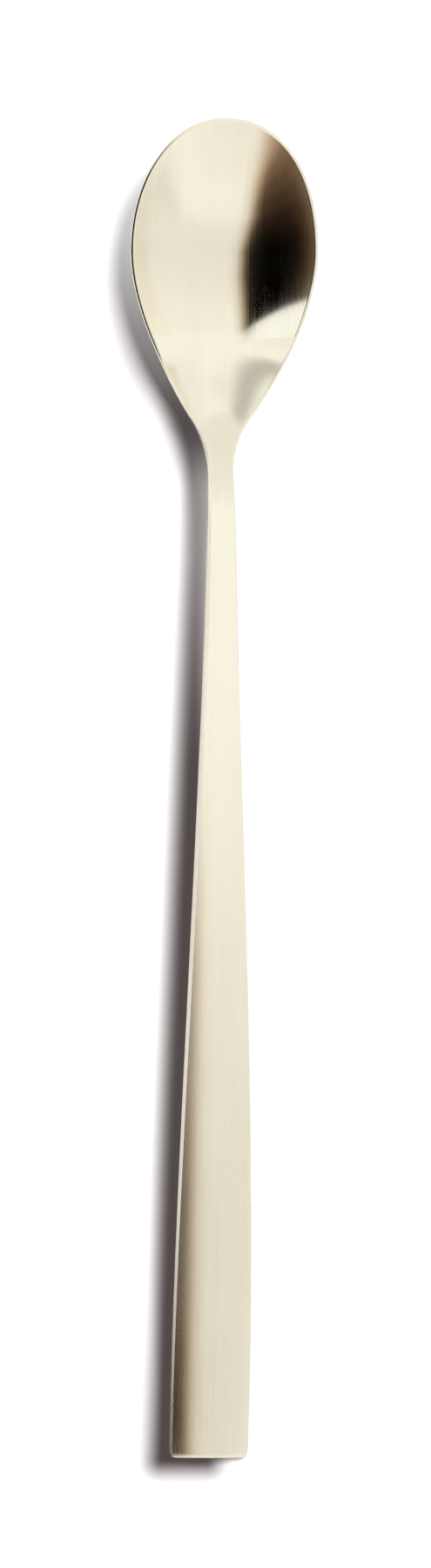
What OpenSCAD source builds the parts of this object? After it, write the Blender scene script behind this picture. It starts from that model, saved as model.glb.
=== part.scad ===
// Iced tea spoon: an egg-shaped bowl that runs into a slim neck, and a long arched handle
// that widens from the neck into a thin, crowned end with eased corners.
// The spoon lies on the plane z = 0 with its bowl towards +Y and its length centred on y = 0.
// It touches the plane under the bowl and along the lower edge of the handle's end.
// The bowl and the handle meet face to face in a flush joint across the neck.

/* [Bowl] */
// Length of the bowl piece, from the neck joint to the tip
bowl_len = 53.2; // [46:0.2:62]
// Width of the bowl across its rim
bowl_w = 28.3; // [22:0.1:36]
// Distance from the tip back to the widest place of the rim
front_len = 19.7; // [15:0.1:24]
// Depth of the hollow below the rim, at the widest place
bowl_depth = 6.2; // [3.5:0.1:10]
// Thickness of the metal under the hollow
bowl_wall = 1.4; // [0.9:0.1:2.2]
// Width of the rounded rim, seen from above
rim_w = 0.5; // [0.3:0.05:1.2]
// Height of the rim's outer face
rim_face = 0.9; // [0.6:0.05:1.6]
// Rise of the rim from its widest place to the tip
tip_rise = 2.6; // [0:0.1:4]
// Power of the hollow, where 2 is a parabola and more is flatter with steeper sides
hollow_power = 2.2; // [2:0.05:2.8]

/* [Neck] */
// Width of the neck at the joint
neck_w = 4; // [3:0.1:6]
// Thickness of the neck at the joint
neck_t = 3.6; // [2.8:0.1:5]
// Height of the neck's upper face over the rim's widest place
neck_rise = 0; // [-1:0.1:2]
// Crown of the neck's upper face, middle over edges
neck_crown = 0.2; // [0.1:0.05:0.5]
// Roundness of the neck's underside, edges over middle
neck_belly = 0.6; // [0.2:0.05:1]
// Width of the sloping side face at the neck, seen from above
neck_bevel = 0.45; // [0.2:0.05:0.8]
// Radius that eases the lower edges of the neck
neck_ease = 0.5; // [0.2:0.05:0.8]
// Depth of the dip where the neck meets the bowl
neck_dip = 2.4; // [0:0.1:3]
// Length from the dip's lowest place to each of its ends
dip_len = 14; // [8:0.5:18]

/* [Handle] */
// Length of the handle piece, from the neck joint to its end
handle_len = 146.8; // [100:1:190]
// Full width of the handle near its end
handle_w = 11.9; // [8:0.1:16]
// Thickness of the handle at its end, in the middle
handle_t = 2.5; // [2.1:0.1:4]
// Angle at which the handle rises from the neck, in degrees
neck_angle = 5.3; // [2:0.1:9]
// Angle at which the handle falls to its end, in degrees
end_angle = 8.4; // [5:0.1:12]
// Crown of the handle's end, middle over edges
end_crown = 0.95; // [0.4:0.05:1.4]
// Power of the end's crown, where more is flatter with rounder shoulders
crown_power = 3; // [2:0.1:5]
// Roundness of the underside at the end, edges over middle
end_belly = 0.15; // [0:0.05:0.4]
// Width of the sloping side face on the slim stretch, seen from above
side_bevel = 0.45; // [0.25:0.05:1.2]
// Width of the sloping side face at the end, seen from above
end_bevel = 0.2; // [0.15:0.05:0.5]
// Radius that eases the lower edges at the end
end_ease = 0.25; // [0.1:0.05:0.5]

/* [Handle end] */
// Length over which the end's corners and edges are eased
corner_len = 2; // [1:0.1:5]
// How far each corner of the end is drawn in
corner_in = 0.45; // [0.2:0.05:1.5]
// How far the upper face drops to the end face
corner_drop = 0.3; // [0.1:0.05:0.8]
// How far the underside lifts to the end face
corner_lift = 0.15; // [0:0.05:0.3]

/* [Hidden] */

// Places along the spoon
tip_y = (bowl_len + handle_len) / 2;
joint_y = tip_y - bowl_len;
wide_y = tip_y - front_len;
rear_len = bowl_len - front_len;

// Heights over the plane that the spoon lies on
rim_z = bowl_wall + bowl_depth;
neck_z = rim_z + neck_rise;

// The rim's outline behind its widest place: a hollow flare out of the neck and a full
// shoulder, which meet on one straight slant. Each pair is a share of the rear length, from
// the joint to the widest place, and a share of the widening, from the neck to the bowl.
flare_shares = [[0, 0], [0.147, 0], [0.25, 0.2]];
shoulder_shares = [[0.25, 0.2], [0.38, 0.452], [0.72, 1], [1, 1]];
// The rim's outline before its widest place, as shares of the half width and the front length
front_shares = [[1, 0], [1, 0.52], [0.65, 1], [0, 1]];

// Place of the dip's lowest point, as a share of the rear length from the joint, and the
// most it may take of the height under the neck
dip_share = 0.18;
dip_limit_share = 0.6;
dip_y = joint_y + rear_len * dip_share;
dip_depth = max(0, min(neck_dip, (neck_z - neck_t) * dip_limit_share));

// Share of the rear length over which the hollow runs out into the neck's upper face
hollow_share = 0.93;
hollow_runout_power = 1.5;
// Share of the rear length in which the wall keeps the bowl's thickness
thin_share = 0.35;
// Shares of the way from neck width to full width, as the handle widens
widening_shares = [0, 0.21, 1.1, 1];

// Share of a side face's height that its upper part takes, on the rim and on the handle
rim_round_share = 0.5;
side_slope_share = 0.85;
// Fullness of the upper part, where 1 is round and 0 is flat
rim_full_share = 1;
side_full_share = 0.15;
// Share of the rim's face over which its lower edge is eased
rim_ease_share = 0.2;
rim_ease = rim_face * rim_ease_share;

// Counts of stations along the spoon and of steps across it
front_steps = 22;
shoulder_steps = 14;
flare_steps = 12;
handle_steps = 44;
corner_steps = 6;
top_steps = 11;
side_steps = 3;
under_steps = 9;
// How much the steps across crowd towards the edge, and the handle's stations to the joint
crowd_power = 1.4;
station_power = 1.2;

// Helpers for easing and blending
function lerp(a, b, t) = a + (b - a) * t;
function clip(t) = max(0, min(1, t));
function ease(t) = let (s = clip(t)) s * s * (3 - 2 * s);
function curve2(a, b, c, t) = lerp(lerp(a, b, t), lerp(b, c, t), t);
function curve3(a, b, c, d, t) = lerp(curve2(a, b, c, t), curve2(b, c, d, t), t);
// A cubic from p to q over a length, with the given slopes at its two ends
function blend(p, p_slope, q, q_slope, length, t) =
    curve3(p, p + p_slope * length / 3, q - q_slope * length / 3, q, t);
function steps(count, power) = [for (i = [0 : count]) 1 - pow(1 - i / count, power)];
function dip(y) = dip_depth * (1 - ease(abs(y - dip_y) / dip_len));

// A station holds everything that one crosswise section needs:
//   y, half width, height of the upper edge, of the upper middle, and of the lower edge and middle,
//   width and height share of the upper side part, its fullness, the lower ease and the two powers.
function st_y(s) = s[0];
function st_half(s) = s[1];
function st_edge(s) = s[2];
function st_top(s) = s[3];
function st_low(s) = s[4];
function st_under(s) = s[5];
function st_bevel(s) = s[6];
function st_upper(s) = s[7];
function st_full(s) = s[8];
function st_ease(s) = s[9];
function st_power(s) = s[10];
function st_belly(s) = s[11];

// Upper side part and lower ease as a list of [inset from the outline, height]
function side(s) =
    let (
        mid = lerp(st_edge(s), st_low(s), st_upper(s)),
        start = [st_bevel(s), st_edge(s)],
        finish = [0, mid],
        corner = lerp((start + finish) / 2, [0, st_edge(s)], st_full(s)),
        foot = [st_ease(s), st_low(s)]
    )
    concat(
        [for (i = [0 : side_steps - 1]) curve2(start, corner, finish, i / side_steps)],
        [for (i = [0 : side_steps]) curve2(finish, [0, st_low(s)], foot, i / side_steps)]
    );

// One half of a crosswise section, from the upper middle round the edge to the lower middle
function half_section(s) =
    let (across = steps(top_steps, crowd_power), back = steps(under_steps, crowd_power))
    concat(
        [for (i = [0 : top_steps - 1])
            [(st_half(s) - st_bevel(s)) * across[i], st_y(s),
             lerp(st_top(s), st_edge(s), pow(across[i], st_power(s)))]],
        [for (p = side(s)) [st_half(s) - p[0], st_y(s), p[1]]],
        [for (i = [under_steps - 1 : -1 : 0])
            [(st_half(s) - st_ease(s)) * back[i], st_y(s),
             lerp(st_under(s), st_low(s), pow(back[i], st_belly(s)))]]
    );

// The same half section closed by its mirror image
function ring(half) =
    concat(half, [for (i = [len(half) - 2 : -1 : 1]) [-half[i][0], half[i][1], half[i][2]]]);

// Handle: a station at the share u of its length, 0 at the neck joint and 1 at the end
function handle_top(u) =
    blend(neck_z, tan(neck_angle), handle_t, -tan(end_angle), handle_len, u)
    - dip(joint_y - u * handle_len);
function handle_half(u) =
    lerp(neck_w, handle_w, curve3(widening_shares[0], widening_shares[1],
                                  widening_shares[2], widening_shares[3], u)) / 2;
function handle_thick(u) = lerp(neck_t, handle_t, ease(u));
function corner_round(u) =
    let (s = clip((u * handle_len - handle_len + corner_len) / corner_len)) 1 - sqrt(1 - s * s);
function handle_station(u) =
    let (
        top = handle_top(u) - corner_drop * corner_round(u),
        under = handle_top(u) - handle_thick(u) + corner_lift * corner_round(u)
    )
    [joint_y - u * handle_len,
     handle_half(u) - corner_in * corner_round(u),
     top - lerp(neck_crown, end_crown, ease(u)),
     top,
     under + lerp(neck_belly, end_belly, ease(u)),
     under,
     curve3(neck_bevel, side_bevel, lerp(side_bevel, end_bevel, 1 / 2), end_bevel, u),
     lerp(rim_round_share, side_slope_share, ease(3 * u)),
     lerp(rim_full_share, side_full_share, ease(3 * u)),
     lerp(neck_ease, end_ease, ease(u)),
     lerp(hollow_power, crown_power, ease(u)),
     lerp(hollow_power, crown_power, ease(u))];

// Bowl behind its widest place: a station at the share w of the rear length, 1 at the joint
function hollow(w) = pow(1 - pow(clip(w / hollow_share), hollow_power), hollow_runout_power);
function deck(w) =
    blend(rim_z, 0, neck_z - neck_crown, -tan(neck_angle), -rear_len, w)
    - dip(joint_y + (1 - w) * rear_len);
function rear_station(place) =
    let (
        w = 1 - place[0],
        joint = ease((w - thin_share) / (1 - thin_share)),
        edge = deck(w),
        top = edge + neck_crown * joint - bowl_depth * hollow(w),
        under = top - lerp(bowl_wall, neck_t, joint),
        face = lerp(rim_face, neck_t - neck_crown - neck_belly, joint)
    )
    [joint_y + place[0] * rear_len,
     lerp(neck_w, bowl_w, place[1]) / 2,
     edge,
     top,
     edge - face,
     under,
     lerp(rim_w, neck_bevel, joint),
     rim_round_share,
     rim_full_share,
     lerp(rim_ease, neck_ease, joint),
     hollow_power,
     hollow_power];

// Places of the rear stations, from the joint to just behind the widest place
rear_places = concat(
    [for (i = [0 : flare_steps - 1])
        curve2(flare_shares[0], flare_shares[1], flare_shares[2], i / flare_steps)],
    [for (i = [0 : shoulder_steps - 1])
        curve3(shoulder_shares[0], shoulder_shares[1],
               shoulder_shares[2], shoulder_shares[3], i / shoulder_steps)]
);

// Bowl before its widest place: half sections fan out from the deepest point to the rim
function outline(t, inset) =
    let (p = curve3(front_shares[0], front_shares[1], front_shares[2], front_shares[3], t))
    [p[0] * (bowl_w / 2 - inset), wide_y + p[1] * (front_len - inset)];
function lift(y) = tip_rise * ease((y - wide_y) / front_len);
function front_half_section(t) =
    let (
        s = rear_station([1, 1]),
        hub = [0, wide_y],
        across = steps(top_steps, crowd_power),
        back = steps(under_steps, crowd_power),
        flat = concat(
            [for (i = [0 : top_steps - 1])
                concat(lerp(hub, outline(t, st_bevel(s)), across[i]),
                       lerp(st_top(s), st_edge(s), pow(across[i], st_power(s))))],
            [for (p = side(s)) concat(outline(t, p[0]), p[1])],
            [for (i = [under_steps - 1 : -1 : 0])
                concat(lerp(hub, outline(t, st_ease(s)), back[i]),
                       lerp(st_under(s), st_low(s), pow(back[i], st_belly(s))))]
        )
    )
    [for (p = flat) [p[0], p[1], p[2] + lift(p[1])]];

// Skin of a bar: closed rings joined in order, with a flat cap on each end
module bar_skin(rings) {
    count = len(rings[0]);
    last = len(rings) - 1;
    polyhedron(
        points = [for (r = rings) each r],
        faces = concat(
            [[for (i = [count - 1 : -1 : 0]) i]],
            [for (k = [0 : last - 1], i = [0 : count - 1])
                let (a = k * count + i, b = k * count + (i + 1) % count)
                each [[a, b, b + count], [a, b + count, a + count]]],
            [[for (i = [0 : count - 1]) last * count + i]]
        ),
        convexity = 4
    );
}

// Skin of a bowl: half sections laid round the rim, from one side of the joint to the tip and
// back. Each pair of opposite half sections shares its first and last point, on the spine, and
// all of them from the hub on share the hub's.
module bowl_skin(halves, hub) {
    tip = len(halves) - 1;
    rows = len(halves[0]) - 2;
    function half_of(c) = min(c, 2 * tip - c);
    function root_of(c) = min(half_of(c), hub);
    function index(c, j) =
        j == 0 ? root_of(c)
        : j == rows + 1 ? hub + 1 + root_of(c)
        : 2 * (hub + 1) + c * rows + j - 1;
    polyhedron(
        points = concat(
            [for (k = [0 : hub]) halves[k][0]],
            [for (k = [0 : hub]) halves[k][rows + 1]],
            [for (c = [0 : 2 * tip], j = [1 : rows])
                let (p = halves[half_of(c)][j]) [c > tip ? -p[0] : p[0], p[1], p[2]]]
        ),
        faces = concat(
            [concat([for (j = [0 : rows + 1]) index(0, j)],
                    [for (j = [rows : -1 : 1]) index(2 * tip, j)])],
            [for (c = [0 : 2 * tip - 1], j = [0 : rows])
                let (a = index(c, j), b = index(c + 1, j), d = index(c + 1, j + 1), e = index(c, j + 1))
                each concat(a == b ? [] : [[a, b, d]], d == e ? [] : [[a, d, e]])]
        ),
        convexity = 6
    );
}

// Pressed bowl with its rounded rim and the flared root of the neck
module bowl() {
    color([0.93, 0.90, 0.79])
        bowl_skin(
            concat(
                [for (place = rear_places) half_section(rear_station(place))],
                [for (i = [0 : front_steps]) front_half_section(i / front_steps)]
            ),
            hub = len(rear_places)
        );
}

// Arched handle, widening from the neck to its eased and crowned end
module handle() {
    straight = 1 - corner_len / handle_len;
    color([0.90, 0.87, 0.76])
        bar_skin(concat(
            [for (i = [0 : handle_steps])
                ring(half_section(handle_station(
                    straight * pow(i / handle_steps, station_power))))],
            [for (i = [1 : corner_steps])
                ring(half_section(handle_station(
                    lerp(straight, 1, sin(90 * i / corner_steps)))))]
        ));
}

bowl();
handle();
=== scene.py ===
"""Iced tea spoon in brushed champagne steel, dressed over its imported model.

The spoon is one rigid body of two pieces, a pressed bowl and an arched handle, which meet in a
flush joint across the neck. Both are built here on a fine mesh from the rules that shape the
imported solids, and each stands for its own solid. All sizes are in metres, in the model's frame:
+Y runs to the bowl's tip, +Z points up out of the bowl, and the spoon lies on z = 0.
"""
import logging
import math
from collections.abc import Callable
from dataclasses import dataclass, fields
from enum import Enum
from typing import Any

import bmesh
import bpy
import numpy as np
from mathutils import Matrix, Vector


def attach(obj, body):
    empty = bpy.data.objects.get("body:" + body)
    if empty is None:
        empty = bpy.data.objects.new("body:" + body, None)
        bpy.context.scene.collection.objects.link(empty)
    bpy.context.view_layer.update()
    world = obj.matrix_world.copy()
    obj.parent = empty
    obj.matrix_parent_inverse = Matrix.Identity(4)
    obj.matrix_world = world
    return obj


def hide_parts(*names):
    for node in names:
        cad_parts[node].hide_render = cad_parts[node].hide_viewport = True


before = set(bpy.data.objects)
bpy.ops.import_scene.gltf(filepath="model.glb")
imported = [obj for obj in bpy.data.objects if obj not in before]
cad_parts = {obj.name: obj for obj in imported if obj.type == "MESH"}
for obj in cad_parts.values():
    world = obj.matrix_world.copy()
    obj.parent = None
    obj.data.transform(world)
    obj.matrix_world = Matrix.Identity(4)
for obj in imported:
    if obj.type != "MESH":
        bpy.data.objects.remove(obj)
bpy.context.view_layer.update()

log = logging.getLogger("iced_tea_spoon")

MM = 0.001
BODY = "root"
WHITE = (1.0, 1.0, 1.0)
BLACK = (0.0, 0.0, 0.0)
# Place of the joint between the bowl and the handle, along Y
JOINT = 46.8 * MM

# A plain number, an array of numbers, or a Field of a node tree
Value = Any
Colour = tuple[float, float, float]


class Run(Enum):
    """How a ramp goes from one stop to the next."""

    EASED = "EASE"
    STRAIGHT = "LINEAR"


class Ray(Enum):
    """What a Light Path node tells of a ray, by the name of its output."""

    CAMERA = "Is Camera Ray"
    GLOSSY = "Is Glossy Ray"
    THROUGH = "Is Transmission Ray"
    MATT_TURNS = "Diffuse Depth"
    GLOSSY_TURNS = "Glossy Depth"


# Node trees


class Graph:
    """Adds nodes to one tree and links them."""

    COLUMNS = 24
    COLUMN_STEP = 180
    ROW_STEP = -220

    def __init__(self, tree: bpy.types.NodeTree) -> None:
        """Keeps the tree that the nodes go into."""
        self.tree = tree

    def node(self, kind: str, **settings: Any) -> bpy.types.Node:
        """Adds a node.

        Args:
            kind: Blender's type name of the node.
            settings: Properties to set on it.

        Returns:
            The new node.
        """
        made = self.tree.nodes.new(kind)
        for name, value in settings.items():
            setattr(made, name, value)
        row, column = divmod(len(self.tree.nodes), self.COLUMNS)
        made.location = (self.COLUMN_STEP * column, self.ROW_STEP * row)
        return made

    def feed(self, socket: bpy.types.NodeSocket, value: Value) -> None:
        """Links a Field to a socket, or sets the socket to a plain value.

        Args:
            socket: The socket to feed.
            value: What goes into it.
        """
        if isinstance(value, Field):
            self.tree.links.new(value.socket, socket)
        else:
            socket.default_value = value

    def call(self, kind: str, inputs: dict[Any, Value], out: Any = 0, **settings: Any) -> "Field":
        """Adds a node, feeds its inputs and picks one output.

        Args:
            kind: Blender's type name of the node.
            inputs: Values by input name or index.
            out: Name or index of the output.
            settings: Properties to set on the node.

        Returns:
            The chosen output.
        """
        made = self.node(kind, **settings)
        for name, value in inputs.items():
            self.feed(made.inputs[name], value)
        return Field(self, made.outputs[out])

    def math(self, operation: str, *terms: Value) -> "Field":
        """Works out one operation on one or two numbers."""
        return self.call("ShaderNodeMath", dict(enumerate(terms)), operation=operation)

    def vector_math(self, operation: str, *terms: Value) -> "Field":
        """Works out one operation on vectors."""
        return self.call("ShaderNodeVectorMath", dict(enumerate(terms)), operation=operation)

    def mix(self, start: Value, finish: Value, share: Value) -> "Field":
        """Mixes two numbers by a share."""
        inputs = {0: share, 2: start, 3: finish}
        return self.call("ShaderNodeMix", inputs, data_type="FLOAT", clamp_factor=False)

    def mix_colour(self, start: Value, finish: Value, share: Value) -> "Field":
        """Mixes two colours by a share."""
        inputs = {0: share, 6: rgba(start), 7: rgba(finish)}
        return self.call("ShaderNodeMix", inputs, 2, data_type="RGBA", clamp_factor=True)

    def smooth(self, value: Value, start: float, finish: float) -> "Field":
        """Rises smoothly from 0 at start to 1 at finish."""
        inputs = {0: value, 1: start, 2: finish, 3: 0.0, 4: 1.0}
        return self.call("ShaderNodeMapRange", inputs, interpolation_type="SMOOTHSTEP")

    def ramp(self, value: Value, stops: tuple, run: Run = Run.EASED) -> "Field":
        """Runs through a few colours.

        Args:
            value: Place on the ramp.
            stops: Place and colour, or plain number, of each stop, in order.
            run: How it goes from one stop to the next.

        Returns:
            The colour at the place.
        """
        first, last = stops[0][0], stops[-1][0]
        made = self.node("ShaderNodeValToRGB")
        points = made.color_ramp.elements
        while len(points) < len(stops):
            points.new(0.5)
        for point, (place, colour) in zip(points, stops):
            point.position = (place - first) / (last - first)
            point.color = rgba(colour if isinstance(colour, tuple) else (colour,) * 3)
        made.color_ramp.interpolation = run.value
        self.feed(made.inputs[0], (value - first) / (last - first))
        return Field(self, made.outputs[0])

    def reached(self, value: "Field", count: int) -> "Field":
        """1 where a whole number has reached a count, and 0 elsewhere."""
        return self.math("GREATER_THAN", value, count - 0.5)

    def emission(self, colour: Value, strength: Value = 1.0) -> "Field":
        """Glows in a colour."""
        return self.call("ShaderNodeEmission", {"Color": rgba(colour), "Strength": strength})

    def show_front(self, shader: "Field", clear: Value = 0.0) -> None:
        """Ends a material that can't be seen from behind.

        Args:
            shader: What its front shows.
            clear: How clear the front is.
        """
        back = self.call("ShaderNodeNewGeometry", {}, "Backfacing")
        hidden = self.math("MAXIMUM", back, clear)
        nothing = self.call("ShaderNodeBsdfTransparent", {})
        sided = self.call("ShaderNodeMixShader", {0: hidden, 1: shader, 2: nothing})
        self.feed(self.node("ShaderNodeOutputMaterial").inputs["Surface"], sided)

    def combine(self, x: Value, y: Value, z: Value) -> "Field":
        """Makes a vector of three numbers."""
        return self.call("ShaderNodeCombineXYZ", {0: x, 1: y, 2: z})

    def split(self, vector: "Field") -> list["Field"]:
        """Splits a vector into its three numbers."""
        first = self.call("ShaderNodeSeparateXYZ", {0: vector})
        return self.outputs(first.socket.node)

    def outputs(self, made: bpy.types.Node) -> list["Field"]:
        """All outputs of a node, in order."""
        return [Field(self, socket) for socket in made.outputs]

    def rays(self) -> dict[Ray, "Field"]:
        """All that a new Light Path node tells of a ray."""
        made = self.node("ShaderNodeLightPath")
        return {ray: Field(self, made.outputs[ray.value]) for ray in Ray}


@dataclass(frozen=True)
class Field:
    """One value in a node tree. Arithmetic on it adds Math nodes."""

    graph: Graph
    socket: bpy.types.NodeSocket

    def __add__(self, other: Value) -> "Field":
        """Adds a value."""
        return self.graph.math("ADD", self, other)

    def __sub__(self, other: Value) -> "Field":
        """Takes a value away."""
        return self.graph.math("SUBTRACT", self, other)

    def __rsub__(self, other: Value) -> "Field":
        """Is taken away from a value."""
        return self.graph.math("SUBTRACT", other, self)

    def __mul__(self, other: Value) -> "Field":
        """Multiplies by a value."""
        return self.graph.math("MULTIPLY", self, other)

    def __truediv__(self, other: Value) -> "Field":
        """Divides by a value."""
        return self.graph.math("DIVIDE", self, other)

    def __pow__(self, other: Value) -> "Field":
        """Raises to a power."""
        return self.graph.math("POWER", self, other)


def rgba(colour: Value) -> Value:
    """Adds full alpha to a plain colour and leaves a Field alone."""
    return colour if isinstance(colour, Field) else (*colour, 1.0)


def fresh_graph(owner: bpy.types.ID) -> Graph:
    """Clears the node tree of a new material or world.

    Args:
        owner: The material or world.

    Returns:
        The graph to build in.
    """
    owner.use_nodes = True
    owner.node_tree.nodes.clear()
    return Graph(owner.node_tree)


def place_object(name: str, data: bpy.types.ID) -> bpy.types.Object:
    """Adds an object to the scene.

    Args:
        name: The object's name.
        data: Its mesh, lamp or camera.

    Returns:
        The object.
    """
    made = bpy.data.objects.new(name, data)
    bpy.context.scene.collection.objects.link(made)
    return made


# Shaping rules

# Shares of the walk round a half section at which its parts end
TOP_END = 0.45
EDGE_END = 0.575
FOOT_END = 0.7
# Steps of a walk before it is made finer, and how much they crowd towards the side
WALK_STEPS = 40
CROWDING = 1.4


def lerp(start: Value, finish: Value, share: Value) -> Value:
    """Goes from one value to another.

    Args:
        start: The value at a share of 0.
        finish: The value at a share of 1.
        share: The share of the way.

    Returns:
        The value there.
    """
    for value in (start, finish, share):
        if isinstance(value, Field):
            return value.graph.mix(start, finish, share)
    return start + (finish - start) * share


def clip(value: Value) -> Value:
    """Keeps a value from 0 to 1.

    Args:
        value: The value.

    Returns:
        The value, or the nearer end.
    """
    if isinstance(value, Field):
        return value.graph.call("ShaderNodeClamp", {0: value, 1: 0.0, 2: 1.0})
    return np.clip(value, 0.0, 1.0)


def ease(value: Value) -> Value:
    """Rises smoothly from 0 to 1.

    Args:
        value: The share of the way, which may lie past its ends.

    Returns:
        The eased share, from 0 to 1.
    """
    if isinstance(value, Field):
        return value.graph.smooth(value, 0.0, 1.0)
    share = np.clip(value, 0.0, 1.0)
    return share * share * (3 - 2 * share)


def curve2(first: Value, second: Value, third: Value, share: Value) -> Value:
    """A curve of three control values."""
    return lerp(lerp(first, second, share), lerp(second, third, share), share)


def curve3(first: Value, second: Value, third: Value, fourth: Value, share: Value) -> Value:
    """A curve of four control values."""
    return lerp(curve2(first, second, third, share), curve2(second, third, fourth, share), share)


def curve_point(points: tuple, share: float) -> list[float]:
    """Place on a flat curve of three or four control points."""
    curve = curve2 if len(points) == 3 else curve3
    return [curve(*axis, share) for axis in zip(*points)]


def blend(
    start: Value, start_slope: Value, finish: Value, finish_slope: Value, length: Value, share: Value
) -> Value:
    """A cubic from start to finish over a length, with the given slopes at its two ends."""
    early, late = start + start_slope * length / 3, finish - finish_slope * length / 3
    return curve3(start, early, late, finish, share)


def slope(degrees: Value) -> Value:
    """Turns an angle into a rise over run.

    Args:
        degrees: The angle.

    Returns:
        Its rise over run.
    """
    if isinstance(degrees, Field):
        return degrees.graph.math("TANGENT", degrees * (math.pi / 180))
    return math.tan(math.radians(degrees))


def dip(place: Value, depth: Value, lowest: Value, length: Value) -> Value:
    """Depth of a smooth dip.

    Args:
        place: Where it is asked for.
        depth: The dip's full depth.
        lowest: Its lowest place.
        length: How far from there it is gone.

    Returns:
        The depth at the place.
    """
    away = place - lowest
    away = away.graph.math("ABSOLUTE", away) if isinstance(away, Field) else np.abs(away)
    return depth * (1 - ease(away / length))


def crowd(share: Value) -> Value:
    """Crowds even steps towards 1."""
    return 1 - (1 - share) ** CROWDING


@dataclass
class Section:
    """One crosswise section, walked from the upper middle round the edge to the lower middle.

    A place on the walk is a share of it: TOP_END ends the upper face, EDGE_END the side's upper
    part, FOOT_END its eased lower part, and 1 is the lower middle.

    Attributes:
        half: Half of the outline's width.
        edge: Height of the upper face's outer edge.
        top: Height of the upper middle.
        low: Height of the side's lower end.
        under: Height of the lower middle.
        bevel: How far the upper face's edge lies in from the outline.
        upper: Share of the side's height that its upper part takes.
        full: How round that part is, from a flat bevel at 0 to a full curve at 1.
        eased: How far the side's lower end lies in from the outline.
        power: Power of the upper face's curve.
        belly: Power of the lower face's curve.
    """

    half: Value
    edge: Value
    top: Value
    low: Value
    under: Value
    bevel: Value
    upper: Value
    full: Value
    eased: Value
    power: Value
    belly: Value

    def trace(self, place: Value) -> tuple[Value, Value, Value]:
        """Finds the skin at a place of the walk.

        Args:
            place: Share of the walk, from 0 to 1.

        Returns:
            The share of the way out, the inset from the outline, and the height.
        """
        out = crowd(clip(place / TOP_END))
        upper = clip((place - TOP_END) / (EDGE_END - TOP_END))
        lower = clip((place - EDGE_END) / (FOOT_END - EDGE_END))
        back = crowd(1 - clip((place - FOOT_END) / (1 - FOOT_END)))
        middle = lerp(self.edge, self.low, self.upper)
        corner = lerp((self.edge + middle) / 2, self.edge, self.full)
        inset = curve2(self.bevel, lerp(self.bevel / 2, 0.0, self.full), 0.0, upper)
        height = (
            lerp(self.top, self.edge, out**self.power)
            + (curve2(self.edge, corner, middle, upper) - self.edge)
            + (curve2(middle, self.low, self.low, lower) - middle)
            + (lerp(self.under, self.low, back**self.belly) - self.low)
        )
        return out + back - 1, inset + self.eased * lower * lower, height


# Finishes


def shader_group(name: str, inputs: dict[str, str], outputs: list[str]) -> tuple[Graph, list[Field]]:
    """Starts a shader node group.

    Args:
        name: The group's name.
        inputs: Socket kinds, such as Vector or Float, by input name.
        outputs: Names of its number outputs.

    Returns:
        The graph to build in, and the group's inputs as fields.
    """
    tree = bpy.data.node_groups.new(name, "ShaderNodeTree")
    for label, kind in inputs.items():
        tree.interface.new_socket(name=label, in_out="INPUT", socket_type="NodeSocket" + kind)
    for label in outputs:
        tree.interface.new_socket(name=label, in_out="OUTPUT", socket_type="NodeSocketFloat")
    graph = Graph(tree)
    return graph, graph.outputs(graph.node("NodeGroupInput"))


@dataclass(frozen=True)
class Streaks:
    """One layer of the grain: the size of its streaks in lines, and the detail of its noise."""

    wide: float
    long: float
    detail: float


class BrushedGrain:
    """Shader group: fine lines and broader bands that run one way over the steel."""

    NAME = "BrushedGrain"
    COARSE = Streaks(1.0, 1.0, 3.0)
    FINE = Streaks(0.45, 0.5, 2.0)
    BROAD = Streaks(9.0, 3.5, 2.0)
    COARSE_SHARE = 0.6
    FINE_SHARE = 0.4
    LINE_RANGE = (0.3, 0.7)
    BAND_RANGE = (0.25, 0.75)

    @classmethod
    def group(cls) -> bpy.types.NodeTree:
        """Builds the group once.

        Returns:
            The group, with the inputs Vector, Line Width, Line Length and Break Up, and the
            outputs Lines and Bands.
        """
        if cls.NAME in bpy.data.node_groups:
            return bpy.data.node_groups[cls.NAME]
        kinds = {"Vector": "Vector", "Line Width": "Float", "Line Length": "Float", "Break Up": "Float"}
        graph, (vector, width, length, broken, *_) = shader_group(cls.NAME, kinds, ["Lines", "Bands"])
        x, y, z = graph.split(vector)

        def streaks(layer: Streaks) -> Field:
            """Noise stretched along the spoon, and up it too, so that no line breaks on a slope.

            Args:
                layer: The layer's streaks.

            Returns:
                The noise.
            """
            long = length * layer.long
            place = graph.combine(x / (width * layer.wide), y / long, z / long)
            inputs = {"Vector": place, "Scale": 1.0, "Detail": layer.detail, "Roughness": broken}
            return graph.call("ShaderNodeTexNoise", inputs, noise_dimensions="3D")

        lines = streaks(cls.COARSE) * cls.COARSE_SHARE + streaks(cls.FINE) * cls.FINE_SHARE
        leave = graph.node("NodeGroupOutput")
        graph.feed(leave.inputs["Lines"], graph.smooth(lines, *cls.LINE_RANGE))
        graph.feed(leave.inputs["Bands"], graph.smooth(streaks(cls.BROAD), *cls.BAND_RANGE))
        return graph.tree


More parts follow.
